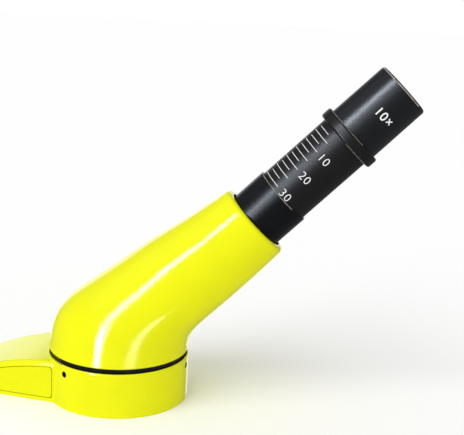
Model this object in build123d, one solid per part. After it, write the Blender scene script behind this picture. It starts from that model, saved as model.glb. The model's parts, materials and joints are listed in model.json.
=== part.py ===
from build123d import *
import math
import os

# Inclined monocular viewing head of a student microscope, on the end of the microscope's arm.
#
# Frame: millimetres, +Z up. The origin is on the optical (swivel) axis, in the flat underside of the
# arm, where the nosepiece is bolted on. The head looks along +X, and its tube rises at 45 degrees.
# The arm leaves the collar a little off -X, because the head stands swivelled by that much.
# "S" is the distance along the tube's axis from the point where it crosses the swivel axis.

# ---- Driving dimensions -------------------------------------------------------------------------

# Arm end, with the collar that holds the head
COLLAR_RADIUS = 28.5
COLLAR_TOP = 18.1
COLLAR_BORE = 22.0
COLLAR_EDGE_ROUND = 0.8
WEB = 3.0                        # the floor that the nosepiece bolts to
SEAT_BORE = 14.0                 # locating bore for the nosepiece
SEAT_CIRCLE = 18.0
TAPPED_M3 = 1.25
SEAT_AZIMUTHS = (30, 150, 270)
ARM_AZIMUTH = 169.0
ARM_START = 18.0
ARM_END = 63.0                   # swivel axis to the rear joint face
ARM_HALF_WIDTHS = (20.0, 17.3)   # at its start and at its end
ARM_TOP = 16.9                   # at its highest, which is where it starts
ARM_FALL = 0.0052                # the top falls by this times the square of the reach past the start
ARM_EDGE_ROUND = 2.3
JOINT_HOLE_SPACING = 10.0
JOINT_HOLE_Z = 3.8
JOINT_HOLE_DEPTH = 9.0
COVER_THICKNESS = 1.6
COVER_SEAM = 0.3
COVER_DROP = 2.3                 # from the top of the arm down to the top of a side cover
COVER_ENDS = (21.4, 60.0)
COVER_BOTTOM = 1.8
COVER_CORNER = 1.4
PEG_RADIUS = 1.3
PEG_SPAN = (11.0, 19.0)          # sideways, before the cover's inner face cuts it off
PEGS = ((29.0, 7.5), (49.0, 5.0))

# Swivel ring under the head, and the screws that lock it
RING_FLANGE_RADIUS = 27.5
RING_FLANGE_Z = 18.15
RING_SPIGOT = 21.92
RING_BORE = 17.5
RING_BOTTOM = 10.5
GROOVE_Z = 14.5
GROOVE_RADIUS = 20.4
LOCK_SCREW_RADIUS = 1.2
LOCK_SCREW_SPAN = (20.5, 27.2)   # distances of its two ends from the swivel axis
LOCK_SCREWS = {"lock_screw_front": -11.0, "lock_screw_left": -131.0, "lock_screw_right": 109.0}

# Head casting
HEAD_RADIUS = 28.3
HEAD_BASE = 20.0
HEAD_HALF_WIDTH = 24.0           # control width halfway up, between the base and the rim
HEAD_STEPS = 10                  # sections of the outside, and of these the first ones for the hollow
HOLLOW_STEPS = 6
HEAD_EDGE_ROUND = 0.4
RIM_ROUND = 1.9
WALL = 2.6
BOSS_CIRCLE = 24.0
BOSS_RADIUS = 3.0
BOSS_HEIGHT = 7.5
BOSS_AZIMUTHS = (60, 180, 300)
BOSS_SCREW_RADIUS = 1.05
BOSS_SCREW_HEAD = 2.2
BOSS_SCREW_DEPTH = 5.5           # into the boss
SCREW_CLEARANCE = 0.03

# Tube axis and the fixed sleeve
TUBE_ANGLE = 45.0
AXIS_Z = 21.64
RIM_S = 75.6
RIM_RADIUS = 15.95
RIM_BORE = 13.3
NECK_S = 53.0
NECK_TOP_S = 66.0
TUBE_PASSAGE = 13.4
SLEEVE_RADIUS = 12.43
SLEEVE_BORE = 11.65
SLEEVE_S = 50.1
SLEEVE_TOP_S = 90.15
LOCK_NUT_RADIUS = 14.0

# Sliding drawtube
TUBE_RADIUS = 11.6
TUBE_BORE = 10.05
TUBE_S = 44.0
FLANGE_S = 121.9                 # underside of the flange, the zero of the scale
FLANGE_TOP_S = 126.5
FLANGE_RADIUS = 13.68
FLANGE_EDGE_ROUND = 0.9
STOP_S = (45.6, 46.8)
STOP_RADIUS = 12.6
STOP_GROOVE = 11.0
DRAG_S = (60.0, 63.0)
DRAG_GROOVE = 11.0
BARLOW_CELL = (44.6, 54.0)
BARLOW_LENS_RADIUS = 8.4
SLIDE_GAP = 0.05

# Eyepiece
EYEPIECE_RADIUS = 11.93
EYEPIECE_TOP_RADIUS = 11.74
EYEPIECE_EDGE_ROUND = 1.1
EYE_OPENING = 8.4
EYEPIECE_TOP_S = 152.3
EYEPIECE_SPIGOT = 10.0
SPIGOT_S = 104.5
SPIGOT_TOP_S = 135.0
SPIGOT_BORE = 9.0
LENS_BORE = 9.4
EYE_LENS = (143.2, 149.4)
EYE_SPACER = (139.5, 142.8)
EYE_RETAINER = (137.6, 139.4)
FIELD_STOP = (117.0, 117.6)
FIELD_LENS = (106.6, 111.0)
FIELD_RETAINER = (105.0, 106.4)

# Prism that turns the light from the vertical into the tube by two reflections
PRISM_BACK = 9.5                 # swivel axis to the silvered face, level with the first reflection
PRISM_BELOW = 7.0
PRISM_ABOVE = 8.0
PRISM_HALF_WIDTH = 6.5
FIRST_REFLECTION_Z = AXIS_Z - PRISM_BACK
PRISM_LOW = FIRST_REFLECTION_Z - PRISM_BELOW
PRISM_HIGH = FIRST_REFLECTION_Z + PRISM_ABOVE
BACK_LEAN = math.tan(math.radians(TUBE_ANGLE / 2))

# Holder of the prism, its clip and its screws
HOLDER_FLOOR = 1.4
CHEEK = 1.5
CHEEK_GAP = 0.05
CHEEK_TOP = 16.5
HOLDER_OUTER = PRISM_HALF_WIDTH + CHEEK_GAP + CHEEK
EAR_THICKNESS = 1.5
CLIP_STRIP = 0.4
CLIP_LEG_LOW = 12.5
HOLDER_SCREW_AZIMUTHS = (90, 270)
HOLDER_SCREW_CIRCLE = 19.3
HOLDER_SCREW_RADIUS = 0.9
HOLDER_SCREW_DEPTH = 3.8         # into the swivel ring
HOLDER_SCREW_HEAD = 1.7

TUBE_COS = math.cos(math.radians(TUBE_ANGLE))
TUBE_SIN = math.sin(math.radians(TUBE_ANGLE))
TUBE = Plane(origin=(0, 0, AXIS_Z), x_dir=(-TUBE_COS, 0, TUBE_SIN), z_dir=(TUBE_SIN, 0, TUBE_COS))
ARM = Plane.XY.rotated((0, 0, ARM_AZIMUTH))
FROM_BELOW = (Align.CENTER, Align.CENTER, Align.MIN)


# ---- Helpers ------------------------------------------------------------------------------------

def turned(points, frame=TUBE):
    """A solid of revolution about the frame's Z axis, from its (radius, height) corners."""
    outline = make_face(Polyline(*points, close=True))
    return frame.location * revolve(Plane.XZ * outline, Axis.Z)


def ring(outer, inner, low, high, frame=TUBE):
    """A plain ring between two heights."""
    return turned([(inner, low), (outer, low), (outer, high), (inner, high)], frame)


def rod(radius, low, high, frame=TUBE):
    """A plain cylinder between two heights."""
    return frame.location * Pos(0, 0, low) * Cylinder(radius, high - low, align=FROM_BELOW)


def spherical(radius, rim_height, rise):
    """Half the section of a lens face whose centre stands higher than its rim by a signed rise."""
    curvature = (radius ** 2 + rise ** 2) / (2 * rise)
    middle = radius / 2
    fall = curvature - math.copysign(math.sqrt(curvature ** 2 - middle ** 2), curvature)
    centre = rim_height + rise
    return ThreePointArc((0, centre), (middle, centre - fall), (radius, rim_height))


def lens(radius, low, high, low_rise, high_rise):
    """A round lens on the tube's axis, with its rims at two heights."""
    outline = make_face([
        spherical(radius, low, low_rise),
        Line((radius, low), (radius, high)),
        spherical(radius, high, high_rise),
        Line((0, low + low_rise), (0, high + high_rise)),
    ])
    return TUBE.location * revolve(Plane.XZ * outline, Axis.Z)


def around(azimuth, radius, height=0):
    """An upright frame at a point on a circle about the swivel axis."""
    angle = math.radians(azimuth)
    return Plane(origin=(radius * math.cos(angle), radius * math.sin(angle), height))


def slab(outline, half_width):
    """An outline in X and Z, given a thickness to each side of the plane of symmetry."""
    return extrude(Plane.XZ * outline, amount=half_width, both=True)


# ---- Arm end ------------------------------------------------------------------------------------

def arm_top(drop=0.0, start=ARM_START, end=ARM_END):
    """The falling top line of the arm, seen from the side."""
    middle = (start + end) / 2

    def height(reach):
        return ARM_TOP - drop - ARM_FALL * (reach - ARM_START) ** 2

    return ThreePointArc((start, height(start)), (middle, height(middle)), (end, height(end)))


def arm_plan(inset=0.0):
    """The arm from above: it tapers a little towards its end."""
    wide, narrow = (half - inset for half in ARM_HALF_WIDTHS)
    return make_face(Polyline((ARM_START, wide), (ARM_END, narrow), (ARM_END, -narrow),
                              (ARM_START, -wide), close=True))


def arm_stub():
    body = extrude(arm_plan(), COLLAR_TOP)
    top = arm_top()
    side_view = make_face([
        top,
        Line(top @ 1, (ARM_END, 0)),
        Line((ARM_END, 0), (ARM_START, 0)),
        Line((ARM_START, 0), top @ 0),
    ])
    body &= slab(side_view, COLLAR_RADIUS)
    crest = [edge for edge in body.edges()
             if edge.center().Z > 5 and abs(edge.center().Y) > 8 and edge.bounding_box().size.X > 20]
    return fillet(crest, ARM_EDGE_ROUND)


def cover_panel(grow=0.0):
    """The side view of a cover, or of its pocket when grown by the seam."""
    start, end = COVER_ENDS[0] - grow, COVER_ENDS[1] + grow
    top = arm_top(COVER_DROP - grow, start, end)
    low = COVER_BOTTOM - grow
    outline = make_face([
        top,
        Line(top @ 1, (end, low)),
        Line((end, low), (start, low)),
        Line((start, low), top @ 0),
    ])
    outline = fillet(outline.vertices(), COVER_CORNER)
    return slab(outline, COLLAR_RADIUS)


def arm_parts():
    """The arm end and the two covers let into its sides."""
    stub = arm_stub()
    skin = stub - extrude(arm_plan(COVER_THICKNESS), COLLAR_TOP)
    panels = skin & cover_panel()
    pocket = skin & cover_panel(COVER_SEAM)
    core = stub - skin
    peg_middle, peg_length = sum(PEG_SPAN) / 2, PEG_SPAN[1] - PEG_SPAN[0]
    pegs = [core & Pos(reach, side * peg_middle, height) * Rot(90, 0, 0) * Cylinder(PEG_RADIUS, peg_length)
            for reach, height in PEGS for side in (-1, 1)]

    pieces = {}
    for name, side in (("left_side_cover", 1), ("right_side_cover", -1)):
        half = Pos(0, side * COLLAR_RADIUS, 0) * Box(4 * COLLAR_RADIUS, 2 * COLLAR_RADIUS, 80)
        cover = panels & half
        for peg in pegs:
            if peg.center().Y * side > 0:
                cover += peg
        pieces[name] = ARM.location * cover

    cuts = pegs + pocket.solids()
    for side in (-1, 1):
        place = Pos(ARM_END - JOINT_HOLE_DEPTH / 2, side * JOINT_HOLE_SPACING / 2, JOINT_HOLE_Z)
        cuts.append(place * Rot(0, 90, 0) * Cylinder(TAPPED_M3, JOINT_HOLE_DEPTH))

    collar = rod(COLLAR_RADIUS, 0, COLLAR_TOP, Plane.XY)
    collar = fillet(collar.edges().sort_by(Axis.Z)[-1], COLLAR_EDGE_ROUND)
    body = collar + ARM.location * stub
    for cut in cuts:
        body -= ARM.location * cut
    body -= rod(COLLAR_BORE, WEB, COLLAR_TOP, Plane.XY)
    body -= rod(SEAT_BORE, 0, WEB, Plane.XY)
    for azimuth in SEAT_AZIMUTHS:
        body -= rod(TAPPED_M3, 0, WEB, around(azimuth, SEAT_CIRCLE))
    for azimuth in LOCK_SCREWS.values():
        body -= rod(TAPPED_M3, COLLAR_BORE - 1, COLLAR_RADIUS + 1, radial(azimuth))
    pieces["arm_end"] = body
    return pieces


def radial(azimuth):
    """A frame on the swivel axis at the lock screws' height, with Z pointing outwards."""
    angle = math.radians(azimuth)
    outward = (math.cos(angle), math.sin(angle), 0)
    return Plane(origin=(0, 0, GROOVE_Z), x_dir=(0, 0, 1), z_dir=outward)


def lock_screw(azimuth):
    """A headless screw with a cone point and a hexagon socket."""
    tip, end = LOCK_SCREW_SPAN
    body = turned([(0, tip), (LOCK_SCREW_RADIUS, tip + LOCK_SCREW_RADIUS), (LOCK_SCREW_RADIUS, end),
                   (0, end)], radial(azimuth))
    socket = extrude(RegularPolygon(0.85, 6), 1.5)
    return body - radial(azimuth).location * Pos(0, 0, end - 1.5) * socket


# ---- Swivel ring --------------------------------------------------------------------------------

def swivel_ring():
    """The black ring under the head: a flange, and a spigot with a groove for the lock screws."""
    land = 0.5
    slope = RING_SPIGOT - GROOVE_RADIUS
    body = turned([
        (RING_BORE, RING_BOTTOM),
        (RING_SPIGOT - 0.3, RING_BOTTOM),
        (RING_SPIGOT, RING_BOTTOM + 0.3),
        (RING_SPIGOT, GROOVE_Z - land - slope),
        (GROOVE_RADIUS, GROOVE_Z - land),
        (GROOVE_RADIUS, GROOVE_Z + land),
        (RING_SPIGOT, GROOVE_Z + land + slope),
        (RING_SPIGOT, RING_FLANGE_Z),
        (RING_FLANGE_RADIUS - 0.3, RING_FLANGE_Z),
        (RING_FLANGE_RADIUS, RING_FLANGE_Z + 0.3),
        (RING_FLANGE_RADIUS, HEAD_BASE),
        (RING_BORE, HEAD_BASE),
    ], Plane.XY)
    for azimuth in BOSS_AZIMUTHS:
        body -= ring_screw(azimuth, SCREW_CLEARANCE)
    for azimuth in HOLDER_SCREW_AZIMUTHS:
        place = around(azimuth, HOLDER_SCREW_CIRCLE)
        depth = HOLDER_SCREW_DEPTH + 0.2
        body -= rod(HOLDER_SCREW_RADIUS + SCREW_CLEARANCE, RING_BOTTOM, RING_BOTTOM + depth, place)
    return body


def ring_screw(azimuth, clearance=0.0):
    """A countersunk screw, put in from below, or the hole for it."""
    head = BOSS_SCREW_HEAD + clearance
    shank = BOSS_SCREW_RADIUS + clearance
    low = RING_FLANGE_Z if clearance else RING_FLANGE_Z + 0.05
    rim = RING_FLANGE_Z + 0.2
    return turned([
        (0, low),
        (head, low),
        (head, rim),
        (shank, rim + head - shank),
        (shank, HEAD_BASE + BOSS_SCREW_DEPTH + clearance),
        (0, HEAD_BASE + BOSS_SCREW_DEPTH + clearance),
    ], around(azimuth, BOSS_CIRCLE))


# ---- Prism and its holder -----------------------------------------------------------------------

def prism_outline():
    """Flat entry face below, exit face square to the tube, silvered face leaning back."""
    def exit_face(z):
        return (FIRST_REFLECTION_Z - z, z)

    def back_face(z):
        return (-PRISM_BACK - BACK_LEAN * (z - FIRST_REFLECTION_Z), z)

    return Polyline(exit_face(PRISM_LOW), back_face(PRISM_LOW), back_face(PRISM_HIGH),
                    exit_face(PRISM_HIGH), close=True)


def prism():
    return chamfer(slab(make_face(prism_outline()), PRISM_HALF_WIDTH).edges(), 0.2)


def prism_holder():
    """A floor with a hole for the light, two cheeks and two ears that screw to the swivel ring."""
    low = PRISM_LOW - HOLDER_FLOOR
    floor = Pos(-2.2, 0, PRISM_LOW - HOLDER_FLOOR / 2) * Box(20, 2 * HOLDER_OUTER, HOLDER_FLOOR)
    cheek_view = make_face(Polyline((7.8, low), (-12.2, low), (-13.4, CHEEK_TOP), (-7.0, CHEEK_TOP),
                                    (7.8, PRISM_LOW), close=True))
    cheeks = slab(cheek_view, HOLDER_OUTER) - slab(cheek_view, HOLDER_OUTER - CHEEK)
    body = floor + cheeks
    reach = HOLDER_SCREW_CIRCLE + HOLDER_SCREW_HEAD
    ear_z = RING_BOTTOM - EAR_THICKNESS / 2
    for side in (-1, 1):
        arm = Box(6, reach - HOLDER_OUTER + 1, EAR_THICKNESS)
        pad = Box(4.2, 2 * HOLDER_SCREW_HEAD, EAR_THICKNESS)
        body += Pos(-3, side * (reach + HOLDER_OUTER - 1) / 2, ear_z) * arm
        body += Pos(0, side * HOLDER_SCREW_CIRCLE, ear_z) * pad
    body -= rod(5.6, 0, PRISM_LOW, Plane.XY)
    for azimuth in HOLDER_SCREW_AZIMUTHS:
        place = around(azimuth, HOLDER_SCREW_CIRCLE)
        body -= rod(HOLDER_SCREW_RADIUS + SCREW_CLEARANCE, 0, RING_BOTTOM, place)
    return body


def prism_clip():
    """A spring strap across the top of the prism, with its two legs gripping the cheeks."""
    inner, outer = HOLDER_OUTER, HOLDER_OUTER + CLIP_STRIP
    high = PRISM_HIGH + CLIP_STRIP
    section = Plane.YZ * make_face(Polyline(
        (-outer, CLIP_LEG_LOW), (-inner, CLIP_LEG_LOW), (-inner, PRISM_HIGH), (inner, PRISM_HIGH),
        (inner, CLIP_LEG_LOW), (outer, CLIP_LEG_LOW), (outer, high), (-outer, high), close=True))
    return Pos(-10.4, 0, 0) * extrude(section, amount=1.6, both=True)


def holder_screw(azimuth):
    """A pan-head screw from below."""
    low = RING_BOTTOM - EAR_THICKNESS
    frame = around(azimuth, HOLDER_SCREW_CIRCLE)
    body = rod(HOLDER_SCREW_RADIUS, low, RING_BOTTOM + HOLDER_SCREW_DEPTH, frame)
    head = fillet(rod(HOLDER_SCREW_HEAD, low - 1.3, low, frame).edges().sort_by(Axis.Z)[0], 0.5)
    cross = Box(1.8, 0.4, 0.7) + Box(0.4, 1.8, 0.7)
    return body + head - frame.location * Pos(0, 0, low - 1.1) * cross


# ---- Head casting -------------------------------------------------------------------------------

def on_axis(s, off=0.0):
    """The point in X and Z at distance S along the tube's axis, and off it towards the top."""
    return (s * TUBE_SIN - off * TUBE_COS, AXIS_Z + s * TUBE_COS + off * TUBE_SIN)


def heading(degrees):
    return (math.cos(math.radians(degrees)), math.sin(math.radians(degrees)))


def head_crown():
    """The top line of the casting, from the back of its base over the shoulder to the rim."""
    shoulder = [(-27.2, 7.0), (-22.8, 17.0), (-11.4, 27.0), (12.4, 45.0)]
    points = [(-HEAD_RADIUS, HEAD_BASE)]
    points += [(x, HEAD_BASE + height) for x, height in shoulder]
    points.append(on_axis(RIM_S, RIM_RADIUS))
    return Plane.XZ * Spline(*points, tangents=[heading(78), heading(37.6)])


def head_throat():
    """The bottom line of the casting, from the front of its base through the hollow to the rim."""
    rim = on_axis(RIM_S, -RIM_RADIUS)
    along = heading(48)
    return Plane.XZ * Bezier(
        (HEAD_RADIUS, HEAD_BASE),
        (HEAD_RADIUS, HEAD_BASE + 12),
        (rim[0] - 43 * along[0], rim[1] - 43 * along[1]),
        rim,
    )


def head_loft(wall, steps):
    """Oval sections that fan from the level base round to square across the tube."""
    crown, throat = head_crown(), head_throat()
    sections = []
    for step in range(steps + 1):
        t = step / HEAD_STEPS
        top, bottom = crown @ t, throat @ t
        across = top - bottom
        half_width = (HEAD_RADIUS * (1 - t) ** 2 + 2 * HEAD_HALF_WIDTH * t * (1 - t)
                      + RIM_RADIUS * t ** 2)
        frame = Plane(origin=(top + bottom) / 2, x_dir=across, z_dir=(across.Z, 0, -across.X))
        sections.append(frame * Ellipse(across.length / 2 - wall, half_width - wall))
    return loft(sections)


def head_casting():
    outside = head_loft(0, HEAD_STEPS)
    body = outside - head_loft(WALL, HOLLOW_STEPS)
    rim = body.faces().sort_by(Axis((0, 0, 0), (TUBE_SIN, 0, TUBE_COS)))[-1]
    body = fillet(rim.outer_wire().edges(), RIM_ROUND)
    base = body.faces().sort_by(Axis.Z)[0]
    body = fillet(base.outer_wire().edges(), HEAD_EDGE_ROUND)
    for azimuth in BOSS_AZIMUTHS:
        boss = rod(BOSS_RADIUS, HEAD_BASE, HEAD_BASE + BOSS_HEIGHT, around(azimuth, BOSS_CIRCLE))
        body += boss & outside
        body -= ring_screw(azimuth, SCREW_CLEARANCE)
    body -= rod(TUBE_PASSAGE, 8, NECK_S)
    body -= rod(LOCK_NUT_RADIUS + 0.2, NECK_S - 14, NECK_S)
    body -= rod(SLEEVE_RADIUS, NECK_S - 1, NECK_TOP_S + 1)
    body -= rod(RIM_BORE, NECK_TOP_S, RIM_S + 1)
    return body


# ---- Sleeve, drawtube and eyepiece --------------------------------------------------------------

def sleeve():
    bevel = 0.25
    return turned([
        (SLEEVE_BORE, SLEEVE_S), (SLEEVE_RADIUS, SLEEVE_S), (SLEEVE_RADIUS, SLEEVE_TOP_S - bevel),
        (SLEEVE_RADIUS - bevel, SLEEVE_TOP_S), (SLEEVE_BORE, SLEEVE_TOP_S),
    ])


def drawtube():
    bevel = 0.3
    body = turned([
        (TUBE_BORE, TUBE_S), (TUBE_RADIUS - bevel, TUBE_S), (TUBE_RADIUS, TUBE_S + bevel),
        (TUBE_RADIUS, FLANGE_S), (TUBE_RADIUS - 0.6, FLANGE_S), (TUBE_RADIUS - 0.6, FLANGE_TOP_S - 0.6),
        (TUBE_BORE, FLANGE_TOP_S - 0.6),
    ])
    body -= ring(TUBE_RADIUS + 1, STOP_GROOVE, *STOP_S)
    return body - ring(TUBE_RADIUS + 1, DRAG_GROOVE, *DRAG_S)


def drawtube_flange():
    """The collar on top of the drawtube, with rounded edges and a lip that laps over the tube's end."""
    body = turned([
        (TUBE_RADIUS - 0.6, FLANGE_S), (FLANGE_RADIUS, FLANGE_S), (FLANGE_RADIUS, FLANGE_TOP_S),
        (TUBE_BORE, FLANGE_TOP_S), (TUBE_BORE, FLANGE_TOP_S - 0.6), (TUBE_RADIUS - 0.6, FLANGE_TOP_S - 0.6),
    ])
    outer = [edge for edge in body.edges().filter_by(GeomType.CIRCLE) if edge.radius > FLANGE_RADIUS - 0.1]
    return fillet(outer, FLANGE_EDGE_ROUND)


def stop_ring():
    """The spring circlip that keeps the drawtube from being pulled out."""
    low, high = STOP_S[0] + 0.03, STOP_S[1] - 0.03
    gap = TUBE.location * Pos(STOP_RADIUS, 0, low) * Box(6, 3.0, 4)
    return ring(STOP_RADIUS, STOP_GROOVE + 0.02, low, high) - gap


def drag_ring():
    """The split plastic ring that gives the drawtube its drag in the sleeve."""
    low, high = DRAG_S[0] + 0.05, DRAG_S[1] - 0.05
    gap = TUBE.location * Pos(TUBE_RADIUS, 0, (low + high) / 2) * Box(4, 1.0, 4)
    return ring(SLEEVE_BORE - 0.02, DRAG_GROOVE + 0.05, low, high) - gap


def barlow_cell():
    low, high = BARLOW_CELL
    return turned([
        (BARLOW_LENS_RADIUS, low), (TUBE_BORE, low), (TUBE_BORE, high), (7.4, high), (7.4, high - 1),
        (BARLOW_LENS_RADIUS, high - 1.6),
    ])


def eyepiece_barrel():
    """The outer barrel: a slight taper, a rounded top edge and a dished opening for the eye."""
    outline = [
        (EYEPIECE_SPIGOT, FLANGE_TOP_S + SLIDE_GAP),
        (EYEPIECE_RADIUS, FLANGE_TOP_S + SLIDE_GAP),
        (EYEPIECE_TOP_RADIUS, EYEPIECE_TOP_S),
        (EYE_OPENING + 1.7, EYEPIECE_TOP_S),
        (EYE_OPENING, EYEPIECE_TOP_S - 1.9),
        (EYE_OPENING, EYEPIECE_TOP_S - 2.7),
        (LENS_BORE, EYEPIECE_TOP_S - 2.7),
        (LENS_BORE, SPIGOT_TOP_S),
        (EYEPIECE_SPIGOT, SPIGOT_TOP_S),
    ]
    body = turned(outline)
    top = [edge for edge in body.edges().filter_by(GeomType.CIRCLE)
           if abs(edge.radius - EYEPIECE_TOP_RADIUS) < 0.01]
    return fillet(top, EYEPIECE_EDGE_ROUND)


def eyepiece_spigot():
    """The tube that drops into the drawtube and carries the field lens."""
    return turned([
        (SPIGOT_BORE, SPIGOT_S), (EYEPIECE_SPIGOT - 0.3, SPIGOT_S), (EYEPIECE_SPIGOT, SPIGOT_S + 0.3),
        (EYEPIECE_SPIGOT, SPIGOT_TOP_S), (SPIGOT_BORE - 0.4, SPIGOT_TOP_S),
        (SPIGOT_BORE - 0.4, FIELD_STOP[1]), (SPIGOT_BORE, FIELD_STOP[1]),
    ])


def build():
    parts = arm_parts()
    for name, azimuth in LOCK_SCREWS.items():
        parts[name] = lock_screw(azimuth)

    parts["swivel_ring"] = swivel_ring()
    parts["swivel_ring_screws"] = Compound([ring_screw(azimuth) for azimuth in BOSS_AZIMUTHS])
    parts["head_casting"] = head_casting()
    parts["prism"] = prism()
    parts["prism_holder"] = prism_holder()
    parts["prism_clip"] = prism_clip()
    parts["prism_holder_screws"] = Compound([holder_screw(azimuth) for azimuth in HOLDER_SCREW_AZIMUTHS])
    parts["sleeve"] = sleeve()
    parts["sleeve_lock_nut"] = ring(LOCK_NUT_RADIUS, SLEEVE_RADIUS, SLEEVE_S, NECK_S)

    parts["drag_ring"] = drag_ring()
    parts["drawtube"] = drawtube()
    parts["drawtube_flange"] = drawtube_flange()
    parts["stop_ring"] = stop_ring()
    low, high = BARLOW_CELL
    parts["barlow_cell"] = barlow_cell()
    parts["barlow_lens"] = lens(BARLOW_LENS_RADIUS, high - 5.6, high - 1.6, 1.1, -1.1)
    parts["barlow_retainer"] = ring(BARLOW_LENS_RADIUS, 7.2, high - 7.4, high - 5.6)

    parts["eyepiece_barrel"] = eyepiece_barrel()
    parts["eyepiece_spigot"] = eyepiece_spigot()
    parts["eye_lens"] = lens(LENS_BORE - 0.05, *EYE_LENS, -1.6, 0.5)
    parts["eye_lens_spacer"] = ring(LENS_BORE - 0.05, EYE_OPENING, *EYE_SPACER)
    parts["eye_lens_retainer"] = ring(LENS_BORE, 7.8, *EYE_RETAINER)
    parts["field_stop"] = ring(SPIGOT_BORE, 7.0, *FIELD_STOP)
    parts["field_stop_spacer"] = ring(SPIGOT_BORE, 8.3, FIELD_LENS[1] + 0.3, FIELD_STOP[0])
    parts["field_lens"] = lens(SPIGOT_BORE, *FIELD_LENS, -0.6, 1.4)
    parts["field_lens_retainer"] = ring(SPIGOT_BORE, 7.8, *FIELD_RETAINER)
    return parts


if __name__ == "__main__":
    os.makedirs("parts", exist_ok=True)
    for name, solid in build().items():
        export_step(solid, f"parts/{name}.step")
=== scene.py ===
import json
import math

import bpy
import bmesh
from mathutils import Matrix, Quaternion, Vector
from mathutils.bvhtree import BVHTree


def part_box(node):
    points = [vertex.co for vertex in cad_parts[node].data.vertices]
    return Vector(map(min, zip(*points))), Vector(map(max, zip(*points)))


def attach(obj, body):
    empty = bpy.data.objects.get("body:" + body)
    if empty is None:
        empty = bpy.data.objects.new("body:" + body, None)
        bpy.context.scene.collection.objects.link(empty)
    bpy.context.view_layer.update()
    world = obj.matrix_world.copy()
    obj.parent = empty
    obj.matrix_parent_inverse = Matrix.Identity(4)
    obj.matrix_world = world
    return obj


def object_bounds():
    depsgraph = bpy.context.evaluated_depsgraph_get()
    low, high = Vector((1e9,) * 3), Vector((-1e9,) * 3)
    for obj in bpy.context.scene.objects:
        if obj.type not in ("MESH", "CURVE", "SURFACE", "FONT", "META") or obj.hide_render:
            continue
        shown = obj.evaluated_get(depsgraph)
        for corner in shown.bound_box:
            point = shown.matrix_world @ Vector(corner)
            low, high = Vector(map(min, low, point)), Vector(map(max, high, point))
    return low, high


# The looks of an inclined monocular microscope head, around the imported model: lime enamel castings,
# black anodised tubes with a white scale, and coated lenses. Lengths are in metres, and in MM where
# that reads better.

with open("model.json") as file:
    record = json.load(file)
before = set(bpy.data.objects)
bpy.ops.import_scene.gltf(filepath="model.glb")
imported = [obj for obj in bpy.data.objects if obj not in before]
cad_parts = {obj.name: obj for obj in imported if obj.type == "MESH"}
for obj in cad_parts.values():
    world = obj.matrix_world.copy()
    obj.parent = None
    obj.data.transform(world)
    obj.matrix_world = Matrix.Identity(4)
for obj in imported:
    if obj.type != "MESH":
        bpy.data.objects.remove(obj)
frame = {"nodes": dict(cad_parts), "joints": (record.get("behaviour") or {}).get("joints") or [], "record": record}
cad_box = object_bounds()

MM = 0.001

# The tube's axis, from the joint that the drawtube turns on. S is the distance along it, counted
# from the point where it crosses the swivel axis, and "crown" points up and back, square to it.
TURN = next(joint for joint in frame["joints"] if joint["name"] == "drawtube_turn")
AXIS = Vector(TURN["axis"]).normalized()
FOOT = Vector(TURN["pos_m"]) - AXIS * (TURN["pos_m"][0] / AXIS.x)
CROWN = Vector((-AXIS.z, 0, AXIS.x))
NEAR_SIDE = Vector((0, -1, 0))
TUBE_FRAME = Matrix((CROWN, NEAR_SIDE, AXIS)).transposed()


def off_axis(offset):
    """The part of an offset from FOOT that is square to the tube's axis."""
    return offset - AXIS * offset.dot(AXIS)


def span(node):
    """The lowest and highest S of a node on the tube's axis, and its outer radius."""
    points = [v.co - FOOT for v in frame["nodes"][node].data.vertices]
    heights = [p.dot(AXIS) for p in points]
    return min(heights), max(heights), max(off_axis(p).length for p in points)


def on_tube(radius, angle, s):
    """A point at an angle (radians) round the axis from the crown towards the near side."""
    return FOOT + TUBE_FRAME @ Vector((radius * math.cos(angle), radius * math.sin(angle), s))


# ---- Node helpers -------------------------------------------------------------------------------

def new_material(name):
    """A material, its node tree and its shader."""
    material = bpy.data.materials.new(name)
    material.use_nodes = True
    return material, material.node_tree, material.node_tree.nodes["Principled BSDF"]


def add(tree, kind, **values):
    """A node with its settings (lower case) and its input values (by the input's name)."""
    node = tree.nodes.new(kind)
    for key, value in values.items():
        if key in node.inputs:
            node.inputs[key].default_value = value
        else:
            setattr(node, key, value)
    return node


def place(tree, scale=(1, 1, 1), along_tube=False):
    """Object coordinates in millimetres, turned so that Z is the tube's axis if asked."""
    coordinates = add(tree, "ShaderNodeTexCoord")
    mapping = add(tree, "ShaderNodeMapping", vector_type="POINT")
    mapping.inputs["Scale"].default_value = [x / MM for x in scale]
    if not along_tube:
        tree.links.new(coordinates.outputs["Object"], mapping.inputs["Vector"])
        return mapping.outputs["Vector"]
    turn = add(tree, "ShaderNodeMapping", vector_type="POINT")
    turn.inputs["Rotation"].default_value = (0, -math.atan2(AXIS.x, AXIS.z), 0)
    tree.links.new(coordinates.outputs["Object"], turn.inputs["Vector"])
    tree.links.new(turn.outputs["Vector"], mapping.inputs["Vector"])
    return mapping.outputs["Vector"]


def noise(tree, where, size, detail=2.0, roughness=0.5):
    """Noise from 0 to 1, with lumps of about the given size in millimetres."""
    node = add(tree, "ShaderNodeTexNoise", Scale=1 / size, Detail=detail, Roughness=roughness)
    tree.links.new(where, node.inputs["Vector"])
    return node.outputs["Fac"]


def spread(tree, value, low, high, centre=0.5, width=0.25):
    """The value's range, from width below its centre to width above it, mapped to low and high."""
    node = add(tree, "ShaderNodeMapRange", clamp=True)
    node.inputs["From Min"].default_value = centre - width
    node.inputs["From Max"].default_value = centre + width
    node.inputs["To Min"].default_value = low
    node.inputs["To Max"].default_value = high
    tree.links.new(value, node.inputs["Value"])
    return node.outputs["Result"]


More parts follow.
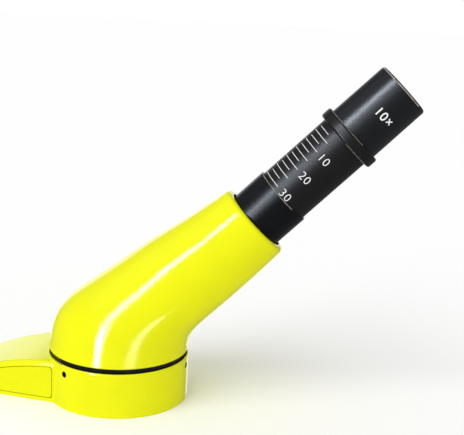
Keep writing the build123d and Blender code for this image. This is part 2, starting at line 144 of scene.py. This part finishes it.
def tint(tree, value, dark, light):
    """A colour between two, by a value from 0 to 1."""
    node = add(tree, "ShaderNodeMix", data_type="RGBA", blend_type="MIX")
    node.inputs[6].default_value = (*dark, 1)
    node.inputs[7].default_value = (*light, 1)
    tree.links.new(value, node.inputs["Factor"])
    return node.outputs[2]


def bump(tree, layers):
    """A normal from (height, depth in millimetres) layers, each on top of the one before."""
    normal = None
    for height, depth in layers:
        node = add(tree, "ShaderNodeBump", Strength=1.0, Distance=depth * MM)
        tree.links.new(height, node.inputs["Height"])
        if normal:
            tree.links.new(normal, node.inputs["Normal"])
        normal = node.outputs["Normal"]
    return normal


# ---- Materials ----------------------------------------------------------------------------------

def enamel(name, colour, grain=1.0):
    """Gloss enamel over a casting: orange peel, a fine sparkle, and slight changes of tone."""
    material, tree, shader = new_material(name)
    where = place(tree)
    tone = spread(tree, noise(tree, where, 14, 3), 0, 1)
    pale = tuple(min(1.0, x * 1.02) for x in colour)
    deep = tuple(x * 0.975 for x in colour)
    tree.links.new(tint(tree, tone, deep, pale), shader.inputs["Base Color"])
    gloss = spread(tree, noise(tree, where, 2.5, 3), 0.06, 0.1)
    tree.links.new(gloss, shader.inputs["Roughness"])
    peel = noise(tree, where, 3.0, 1.0)
    sparkle = noise(tree, where, 0.9, 2.0)
    normal = bump(tree, [(peel, 0.015 * grain), (sparkle, 0.06 * grain)])
    tree.links.new(normal, shader.inputs["Normal"])
    shader.inputs["IOR"].default_value = 1.5
    return material


def anodised(name, colour, roughness, turned=1.0, specular=0.35):
    """Black anodised metal with the fine rings of a lathe round the tube's axis."""
    material, tree, shader = new_material(name)
    rings = noise(tree, place(tree, (0.05, 0.05, 1), along_tube=True), 0.16, 3.0, 0.6)
    blotch = noise(tree, place(tree), 5, 4)
    grit = noise(tree, place(tree), 0.22, 2.0)
    tone = spread(tree, blotch, 0, 1)
    pale = tuple(x * 1.25 for x in colour)
    tree.links.new(tint(tree, tone, colour, pale), shader.inputs["Base Color"])
    gloss = spread(tree, rings, roughness * 0.9, roughness * 1.12)
    tree.links.new(gloss, shader.inputs["Roughness"])
    normal = bump(tree, [(rings, 0.0025 * turned), (grit, 0.002 * turned)])
    tree.links.new(normal, shader.inputs["Normal"])
    shader.inputs["Specular IOR Level"].default_value = specular
    shader.inputs["Specular Tint"].default_value = (0.88, 0.92, 1, 1)
    return material


def machined(name, colour, roughness=0.3):
    """Bare metal, faced on a lathe or mill."""
    material, tree, shader = new_material(name)
    lines = noise(tree, place(tree, (1, 0.08, 1)), 0.25, 3.0, 0.6)
    blotch = noise(tree, place(tree), 4, 3)
    pale = tuple(min(1.0, x * 1.12) for x in colour)
    tone = spread(tree, blotch, 0, 1)
    tree.links.new(tint(tree, tone, colour, pale), shader.inputs["Base Color"])
    gloss = spread(tree, lines, roughness * 0.8, roughness * 1.3)
    tree.links.new(gloss, shader.inputs["Roughness"])
    tree.links.new(bump(tree, [(lines, 0.004)]), shader.inputs["Normal"])
    shader.inputs["Metallic"].default_value = 1.0
    return material


def matte_black(name):
    """Flat black paint against stray light."""
    material, tree, shader = new_material(name)
    grain = noise(tree, place(tree), 0.3, 3)
    tree.links.new(tint(tree, grain, (0.006,) * 3, (0.014,) * 3), shader.inputs["Base Color"])
    tree.links.new(spread(tree, grain, 0.65, 0.85), shader.inputs["Roughness"])
    tree.links.new(bump(tree, [(grain, 0.01)]), shader.inputs["Normal"])
    shader.inputs["Specular IOR Level"].default_value = 0.2
    return material


def coated_glass(name):
    """Lens glass with a thin coating that tints its reflections."""
    material, tree, shader = new_material(name)
    smear = noise(tree, place(tree), 6, 4)
    tree.links.new(spread(tree, smear, 0.0, 0.05), shader.inputs["Roughness"])
    shader.inputs["Base Color"].default_value = (0.93, 0.97, 0.99, 1)
    shader.inputs["Transmission Weight"].default_value = 1.0
    shader.inputs["IOR"].default_value = 1.52
    shader.inputs["Thin Film Thickness"].default_value = 420
    shader.inputs["Thin Film IOR"].default_value = 1.38
    return material


def natural_nylon(name):
    """Unpainted nylon, slightly cloudy."""
    material, tree, shader = new_material(name)
    cloud = noise(tree, place(tree), 3, 3)
    colour = tint(tree, cloud, (0.62, 0.6, 0.53), (0.8, 0.79, 0.74))
    tree.links.new(colour, shader.inputs["Base Color"])
    tree.links.new(spread(tree, cloud, 0.4, 0.55), shader.inputs["Roughness"])
    return material


def white_paint(name):
    """The white fill of the scale: matte, a little uneven."""
    material, tree, shader = new_material(name)
    grain = noise(tree, place(tree), 0.35, 3)
    colour = tint(tree, grain, (0.82, 0.82, 0.82), (0.98, 0.98, 0.97))
    tree.links.new(colour, shader.inputs["Base Color"])
    tree.links.new(spread(tree, grain, 0.45, 0.7), shader.inputs["Roughness"])
    return material


def worn_edge(name):
    """A painted highlight on an edge: a pale, patchy line that stands in for the light a rounded edge catches."""
    material, tree, shader = new_material(name)
    highlight_patches = noise(tree, place(tree), 1.6, 4, 0.7)
    colour = tint(tree, spread(tree, highlight_patches, 0, 1), (0.16, 0.15, 0.135), (0.62, 0.58, 0.5))
    tree.links.new(colour, shader.inputs["Base Color"])
    tree.links.new(spread(tree, highlight_patches, 0.6, 0.4), shader.inputs["Roughness"])
    shader.inputs["Metallic"].default_value = 0.3
    return material


LIME = (0.84, 0.85, 0.004)
COVER_LIME = tuple(x * 0.985 for x in LIME)
RING_BLACK = (0.004, 0.004, 0.0045)
SLEEVE_BLACK = (0.003, 0.0033, 0.0045)
TUBE_BLACK = (0.0085, 0.0072, 0.0072)
BARREL_BLACK = (0.004, 0.005, 0.006)

LOOKS = {                        # by the record's material slots
    "lime_enamel": enamel("lime_enamel_paint", LIME),
    "cover_enamel": enamel("cover_enamel_paint", COVER_LIME, grain=1.2),
    "black_ring": anodised("black_ring_finish", RING_BLACK, 0.16, specular=0.5),
    "black_sleeve": anodised("black_sleeve_finish", SLEEVE_BLACK, 0.26, specular=0.34),
    "black_tube": anodised("black_tube_finish", TUBE_BLACK, 0.36, specular=0.4),
    "black_barrel": anodised("black_barrel_finish", BARREL_BLACK, 0.3, turned=0.12, specular=0.72),
    "inner_black": matte_black("inner_black_paint"),
    "dark_steel": machined("blackened_steel", (0.07, 0.068, 0.065), 0.35),
    "spring_steel": machined("spring_steel_finish", (0.55, 0.55, 0.56), 0.25),
    "nylon": natural_nylon("nylon_finish"),
    "optical_glass": coated_glass("coated_glass"),
}
BARE_METAL = machined("machined_casting", (0.68, 0.68, 0.66), 0.32)
EDGE_HIGHLIGHT_PAINT = worn_edge("worn_edge")
# painted highlight: the pale lines along the tubes' edges are painted, not worn metal
WHITE = white_paint("scale_white")


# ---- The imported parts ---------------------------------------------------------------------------

def dress_parts():
    """Each part takes the look of its slot."""
    for row in frame["record"]["subparts"]:
        part = frame["nodes"][row["node"]]
        part.material_slots[0].material = LOOKS[row["material_slot"]]


def second_finish(node, material, belongs):
    """Gives a material of their own to the faces that belong, by their centre and normal."""
    part = frame["nodes"][node]
    part.data.materials.append(material)
    for face in part.data.polygons:
        if belongs(face.center, face.normal):
            face.material_index = len(part.data.materials) - 1


def from_swivel(point):
    """The distance from the swivel axis."""
    return math.hypot(point.x, point.y)


def towards_crown(point):
    """The cosine of a point's angle round the tube from its crown."""
    return off_axis(point - FOOT).normalized().dot(CROWN)


dress_parts()

# The arm: bare metal where it was cut after painting, and painted shade, flat black, in the lock screws' holes and
# on the collar's top under the head.

FACE_SLACK = 0.02 * MM           # how near a face's centre has to be to the plane that it is on
HOLE_SLACK = 0.1 * MM
SCREW_HOLE_RADIUS = 1.3 * MM
BORE_STEP = 4 * MM               # the collar's bores lie this far inside the swivel ring's edge
SHADE_WIDTH = 6 * MM              # width of the painted shade on the collar's top, inwards from the swivel ring's edge
SHADE_DEPTH = 1 * MM

collar_low, collar_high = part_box("arm_end")
ring_low, ring_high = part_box("swivel_ring")
ring_radius = (ring_high.y - ring_low.y) / 2
mounts = frame["record"]["mounts"]
arm_joint = next(mount for mount in mounts if mount["name"] == "arm_joint_face")
arm_out = Vector(arm_joint["axis"])
arm_reach = Vector(arm_joint["pos_m"]).dot(arm_out)
joint_holes = [mount for mount in mounts if mount["name"].startswith("arm_joint_hole")]
lock_screws = [joint for joint in frame["joints"] if joint["name"].startswith("lock_screw")]
screw_low, screw_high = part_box("lock_screw_front")
screw_middle = Vector((0, 0, (screw_low.z + screw_high.z) / 2))


def in_joint_hole(centre):
    """The walls and floors of the tapped holes in the joint face."""
    for hole in joint_holes:
        offset = centre - Vector(hole["pos_m"])
        depth = -offset.dot(arm_out)
        across = (offset + arm_out * depth).length
        radius, length = hole["dims"]["r_mm"] * MM, hole["dims"]["length_mm"] * MM
        if depth < length + HOLE_SLACK and across < radius * 1.05:
            return True
    return False


def bare_on_arm(centre, normal):
    """The underside, the joint face, the collar's bores and the joint face's holes."""
    under = centre.z < collar_low.z + FACE_SLACK
    joint_face = normal.dot(arm_out) > 0.99 and centre.dot(arm_out) > arm_reach - FACE_SLACK
    bores = from_swivel(centre) < ring_radius - BORE_STEP
    return under or joint_face or bores or in_joint_hole(centre)


def in_screw_hole(centre, normal):
    """The walls of the lock screws' holes, painted flat black as the shade inside them."""
    for joint in lock_screws:
        along = Vector(joint["axis"])
        offset = centre - screw_middle
        reach = offset.dot(along)
        if reach > 0 and (offset - along * reach).length < SCREW_HOLE_RADIUS:
            return True
    return False


def collar_land(centre, normal):
    """The collar's top face under the head, as far as its rounded edge: painted shade, flat black where the gap
    under the head lies in shadow.
    """
    top = centre.z > collar_high.z - SHADE_DEPTH and normal.z > 0.9
    return top and from_swivel(centre) > ring_radius - SHADE_WIDTH


second_finish("arm_end", BARE_METAL, bare_on_arm)
# painted shade: the walls of the lock screws' holes are blackened to stand in for the shade inside them
second_finish("arm_end", LOOKS["inner_black"], in_screw_hole)
# painted shade: the collar's top under the head takes the flat black paint, so that the gap under the head reads
# dark
second_finish("arm_end", LOOKS["inner_black"], collar_land)

# The head: flat black inside.

RAY_LIFT = 0.05 * MM             # a ray starts this far off its own face
BASE_BAND = 0.5 * MM             # the foot of the casting stays enamelled

head_low, head_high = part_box("head_casting")
casting = frame["nodes"]["head_casting"].data
casting_tree = BVHTree.FromPolygons([v.co for v in casting.vertices],
                                    [face.vertices for face in casting.polygons])


def inside_head(centre, normal):
    """The hollow of the casting: its faces look at another face of the casting."""
    hit = casting_tree.ray_cast(centre + normal * RAY_LIFT, normal)
    return hit[0] is not None and centre.z > head_low.z + BASE_BAND


second_finish("head_casting", LOOKS["inner_black"], inside_head)

# The tubes: painted highlights along edges, over the part of their way round that faces the light.

LIP_DEPTH = 0.4 * MM
ROUNDING_DEPTH = 2 * MM

sleeve_top = span("sleeve")[1]
barrel_top = span("eyepiece_barrel")[1]


def sleeve_lip(centre, normal):
    """The bevel round the sleeve's mouth, with a painted highlight on its upper half."""
    bevel = 0.3 < normal.dot(AXIS) < 0.95 and (centre - FOOT).dot(AXIS) > sleeve_top - LIP_DEPTH
    return bevel and towards_crown(centre) > -0.35


def flange_edges(centre, normal):
    """Where the flange's rounded edges meet its flat faces.

    The edge nearer the eyepiece has a painted highlight on its upper part, and the other one on its lower part.
    """
    along = normal.dot(AXIS)
    upper = 0.8 < along < 0.985 and towards_crown(centre) > -0.25
    lower = -0.985 < along < -0.8 and towards_crown(centre) < 0.1
    return upper or lower


def barrel_lip(centre, normal):
    """The start of the rounding round the eyepiece's top, with a painted highlight on its upper part."""
    offset = centre - FOOT
    outside = off_axis(offset).dot(normal) > 0
    near_top = offset.dot(AXIS) > barrel_top - ROUNDING_DEPTH
    rounding = near_top and 0.2 < normal.dot(AXIS) < 0.55
    return outside and rounding and towards_crown(centre) > -0.6


second_finish("sleeve", EDGE_HIGHLIGHT_PAINT, sleeve_lip)
second_finish("drawtube_flange", EDGE_HIGHLIGHT_PAINT, flange_edges)
second_finish("eyepiece_barrel", EDGE_HIGHLIGHT_PAINT, barrel_lip)


# ---- The white scale ----------------------------------------------------------------------------

SCALE_STEP = 5                   # millimetres between long lines
SCALE_LINES = 6
NUMERALS = (10, 20, 30)
LINE_WIDTH = 0.27 * MM
LONG_LINE = (4.0, 60.5)          # degrees round the tube from its crown
SHORT_LINE = (14.0, 49.0)
NUMERAL_HEIGHT = 3.2 * MM
NUMERAL_ANGLE = 82.0
NUMERAL_WEIGHT = -0.008          # thins the strokes, in heights of a line of text
MARK = "10×"
MARK_HEIGHT = 3.6 * MM
MARK_ANGLE = 96.0
MARK_WEIGHT = 0.008
MARK_SINK = 0.08 * MM            # the barrel tapers: its middle is this much inside its foot
PAINT = 0.018 * MM               # how far the paint stands proud of the metal
LETTER_SPACING = 1.12
LETTER_EDGE = 0.35 * MM          # longer edges in a character are cut, so that it follows the tube
LETTER_CUTS = 3
WELD = 1e-5                      # in the units of the flat text


def link(thing):
    """Puts an object in the scene."""
    bpy.context.scene.collection.objects.link(thing)
    return thing


def add_paint(name, mesh, body):
    """A piece of white paint that rides on a body."""
    mesh.materials.clear()
    mesh.materials.append(WHITE)
    piece = link(bpy.data.objects.new(name, mesh))
    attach(piece, body)


def scale_line(name, radius, s, start, end):
    """A line round the drawtube with rounded ends and a crowned top."""
    steps = max(12, round((end - start) * 0.8))
    rows = 4
    points, faces = [], []
    for i in range(steps + 1):
        along = i / steps
        arc = math.radians(start + (end - start) * along)
        from_end = min(along, 1 - along) * math.radians(end - start) * radius
        taper = math.sqrt(max(0.0, 1 - max(0.0, 1 - from_end / (LINE_WIDTH / 2)) ** 2))
        half = LINE_WIDTH / 2 * max(taper, 0.25)
        for j in range(rows + 1):
            across = 2 * j / rows - 1
            proud = PAINT * (1 - 0.6 * across ** 2)
            if j in (0, rows):
                proud = -PAINT
            points.append(on_tube(radius + proud, arc, s + half * across))
    for i in range(steps):
        for j in range(rows):
            a = i * (rows + 1) + j
            faces.append((a, a + 1, a + rows + 2, a + rows + 1))
    mesh = bpy.data.meshes.new(name)
    mesh.from_pydata(points, [], faces)
    mesh.validate()
    for face in mesh.polygons:
        face.use_smooth = True
    add_paint(name, mesh, "drawtube")


def flat_text(name, text, weight):
    """The mesh of a line of text, flat and one unit high."""
    curve = bpy.data.curves.new(name + "_curve", "FONT")
    curve.body = text
    curve.align_x = "CENTER"
    curve.space_character = LETTER_SPACING
    curve.offset = weight
    curve.resolution_u = 6
    flat = link(bpy.data.objects.new(name + "_flat", curve))
    bpy.context.view_layer.update()
    mesh = bpy.data.meshes.new_from_object(flat)
    bpy.data.objects.remove(flat)
    return mesh


def lettering(name, text, height, weight, radius, angle, s, body):
    """Characters wrapped round the tube, their tops towards the eyepiece, with sides down to it."""
    mesh = flat_text(name, text, weight)
    work = bmesh.new()
    work.from_mesh(mesh)
    bmesh.ops.remove_doubles(work, verts=work.verts, dist=WELD)
    bmesh.ops.triangulate(work, faces=work.faces)
    low = min(v.co.y for v in work.verts)
    high = max(v.co.y for v in work.verts)
    left = min(v.co.x for v in work.verts)
    right = max(v.co.x for v in work.verts)
    size = height / (high - low)
    for cut in range(LETTER_CUTS):
        long_edges = [e for e in work.edges if e.calc_length() * size > LETTER_EDGE]
        bmesh.ops.subdivide_edges(work, edges=long_edges, cuts=1)
        bmesh.ops.triangulate(work, faces=work.faces)
    for v in work.verts:
        sideways = (v.co.x - (left + right) / 2) * size
        up = (v.co.y - (low + high) / 2) * size
        v.co = on_tube(radius + PAINT, math.radians(angle) + sideways / radius, s + up)
    rim = [e for e in work.edges if e.is_boundary]
    skirt = bmesh.ops.extrude_edge_only(work, edges=rim)
    for v in (part for part in skirt["geom"] if isinstance(part, bmesh.types.BMVert)):
        v.co -= off_axis(v.co - FOOT).normalized() * 2 * PAINT
    bmesh.ops.recalc_face_normals(work, faces=work.faces)
    work.to_mesh(mesh)
    work.free()
    mesh.name = name
    add_paint(name, mesh, body)


def make_scale():
    """The drawtube's lines and numerals, counted in millimetres down from the flange."""
    radius = span("drawtube")[2]
    zero = span("drawtube_flange")[0]
    for k in range(1, SCALE_LINES + 1):
        value = k * SCALE_STEP
        s = zero - value * MM
        scale_line(f"scale_line_{value}", radius, s, *LONG_LINE)
        scale_line(f"scale_half_line_{k}", radius, s + SCALE_STEP * MM / 2, *SHORT_LINE)
    for value in NUMERALS:
        lettering(f"scale_numeral_{value}", str(value), NUMERAL_HEIGHT, NUMERAL_WEIGHT, radius,
                  NUMERAL_ANGLE, zero - value * MM, "drawtube")


def make_mark():
    """The magnification, halfway up the eyepiece."""
    low, high, radius = span("eyepiece_barrel")
    lettering("magnification_mark", MARK, MARK_HEIGHT, MARK_WEIGHT, radius - MARK_SINK,
              MARK_ANGLE, (low + high) / 2, "eyepiece")


make_scale()
make_mark()


# ---- Floor, light and camera --------------------------------------------------------------------

FLOOR_RADIUS = 4.0
FLOOR_WHITE = 0.99
ROOM_LIGHT = 0.68                # the world, for diffuse light
ROOM_MIRRORED = 0.17             # the world, in reflections
LIGHT_COLOUR = (0.93, 0.96, 1.0)
SUN_STRENGTH = 1.5
SUN_SOFTNESS = 50                # degrees
SUN_FROM = (-38, 42)             # azimuth and elevation, degrees
GLOW_SIZE = 0.034
GLOW_RADIANCE = 6.0
GLOW_PLACE = (0.037, -0.1, 2 * MM)

# The panels that the gloss mirrors: where the long side starts and ends (azimuth and elevation in
# degrees, seen from LIT_POINT), the width and the distance in metres, and the radiance.
LIT_POINT = Vector((0.03, 0, 0.07))
PANELS = {
    "key_strip": ((-29, -9), (-49, 44), 0.24, 3.0, 26.0),
    "key_crossbar": ((-54, 42), (-34, 46), 0.22, 3.0, 20.0),
    "key_foot": ((-27, -13), (-35, 14), 0.4, 3.0, 20.0),
    "side_softbox": ((-128, 42), (-72, 44), 0.5, 1.2, 0.2),
    "backdrop": ((-173, -35), (-173, 15), 1.3, 1.5, 1.0),
}

CAMERA_AZIMUTH = 0.133           # degrees
CAMERA_ELEVATION = 13.035
CAMERA_ROLL = 2.669
CAMERA_PLACE = Vector((44.7, -389.0, 165.5)) * MM
CAMERA_LENS = 78.08              # on a sensor 36 wide


def make_floor():
    """A wide white disc under the object, which reflections don't show."""
    work = bmesh.new()
    bmesh.ops.create_circle(work, cap_ends=True, segments=96, radius=FLOOR_RADIUS)
    mesh = bpy.data.meshes.new("floor")
    work.to_mesh(mesh)
    work.free()
    floor = link(bpy.data.objects.new("floor", mesh))
    floor.location.z = cad_box[0].z
    material, tree, shader = new_material("floor_white")
    shader.inputs["Base Color"].default_value = (FLOOR_WHITE, FLOOR_WHITE, FLOOR_WHITE, 1)
    shader.inputs["Roughness"].default_value = 0.7
    shader.inputs["Specular IOR Level"].default_value = 0
    mesh.materials.append(material)
    floor.visible_glossy = False


def direction(azimuth, elevation):
    """A unit vector: azimuth 0 points at -Y and positive towards +X, in degrees."""
    a, e = math.radians(azimuth), math.radians(elevation)
    return Vector((math.sin(a) * math.cos(e), -math.cos(a) * math.cos(e), math.sin(e)))


def facing(place_at, right, up, away):
    """The matrix of a lamp or camera that looks along minus away."""
    return Matrix.Translation(place_at) @ Matrix((right, up, away)).transposed().to_4x4()


def softbox(name, start, end, width, distance, radiance):
    """A rectangular panel whose long side runs from one direction to another, facing LIT_POINT.

    It is only seen in reflections: the room and the sun light the object.
    """
    a = LIT_POINT + direction(*start) * distance
    b = LIT_POINT + direction(*end) * distance
    centre = (a + b) / 2
    data = bpy.data.lights.new(name, "AREA")
    data.shape = "RECTANGLE"
    data.color = LIGHT_COLOUR
    data.size = width
    data.size_y = (b - a).length
    data.energy = radiance * math.pi * data.size * data.size_y
    lamp = link(bpy.data.objects.new(name, data))
    up = (b - a).normalized()
    back = (centre - LIT_POINT).normalized()
    back = (back - up * back.dot(up)).normalized()
    lamp.matrix_world = facing(centre, up.cross(back), up, back)
    lamp.visible_diffuse = False
    lamp.visible_camera = False


def make_world():
    """A white room: bright for diffuse light, dimmer in reflections, white behind the object."""
    world = bpy.data.worlds.new("studio")
    world.use_nodes = True
    tree = world.node_tree
    for node in list(tree.nodes):
        tree.nodes.remove(node)
    path = add(tree, "ShaderNodeLightPath")
    room = add(tree, "ShaderNodeBackground", Strength=ROOM_LIGHT)
    mirrored = add(tree, "ShaderNodeBackground", Strength=ROOM_MIRRORED)
    seen = add(tree, "ShaderNodeBackground", Strength=1.0)
    for background in (room, mirrored, seen):
        background.inputs["Color"].default_value = (1, 1, 1, 1)
    first = add(tree, "ShaderNodeMixShader")
    second = add(tree, "ShaderNodeMixShader")
    output = add(tree, "ShaderNodeOutputWorld")
    tree.links.new(path.outputs["Is Glossy Ray"], first.inputs["Fac"])
    tree.links.new(room.outputs[0], first.inputs[1])
    tree.links.new(mirrored.outputs[0], first.inputs[2])
    tree.links.new(path.outputs["Is Camera Ray"], second.inputs["Fac"])
    tree.links.new(first.outputs[0], second.inputs[1])
    tree.links.new(seen.outputs[0], second.inputs[2])
    tree.links.new(second.outputs[0], output.inputs["Surface"])
    bpy.context.scene.world = world


def make_sun():
    """The soft light from the upper left that gives the shapes their shade."""
    data = bpy.data.lights.new("key_sun", "SUN")
    data.energy = SUN_STRENGTH
    data.angle = math.radians(SUN_SOFTNESS)
    sun = link(bpy.data.objects.new("key_sun", data))
    sun.rotation_mode = "QUATERNION"
    sun.rotation_quaternion = direction(*SUN_FROM).to_track_quat("Z", "Y")
    sun.visible_glossy = False


def make_glow():
    """A bright spot of floor that the casting's throat mirrors."""
    data = bpy.data.lights.new("floor_glow", "AREA")
    data.shape = "DISK"
    data.size = GLOW_SIZE
    data.energy = GLOW_RADIANCE * math.pi * math.pi * (data.size / 2) ** 2
    glow = link(bpy.data.objects.new("floor_glow", data))
    glow.location = GLOW_PLACE
    glow.rotation_euler.x = math.pi
    glow.visible_diffuse = False
    glow.visible_camera = False


def make_camera():
    """The photograph's view, from the front and a little above."""
    data = bpy.data.cameras.new("camera")
    data.lens = CAMERA_LENS
    data.sensor_width = 36
    data.clip_start = 0.01
    camera = link(bpy.data.objects.new("camera", data))
    away = direction(CAMERA_AZIMUTH, CAMERA_ELEVATION)
    right = Vector((0, 0, 1)).cross(away).normalized()
    right.rotate(Quaternion(away, math.radians(CAMERA_ROLL)))
    camera.matrix_world = facing(CAMERA_PLACE, right, away.cross(right), away)
    bpy.context.scene.camera = camera


make_floor()
make_world()
for panel, spec in PANELS.items():
    softbox(panel, *spec)
make_sun()
make_glow()
make_camera()
bpy.context.scene.view_settings.view_transform = "Standard"
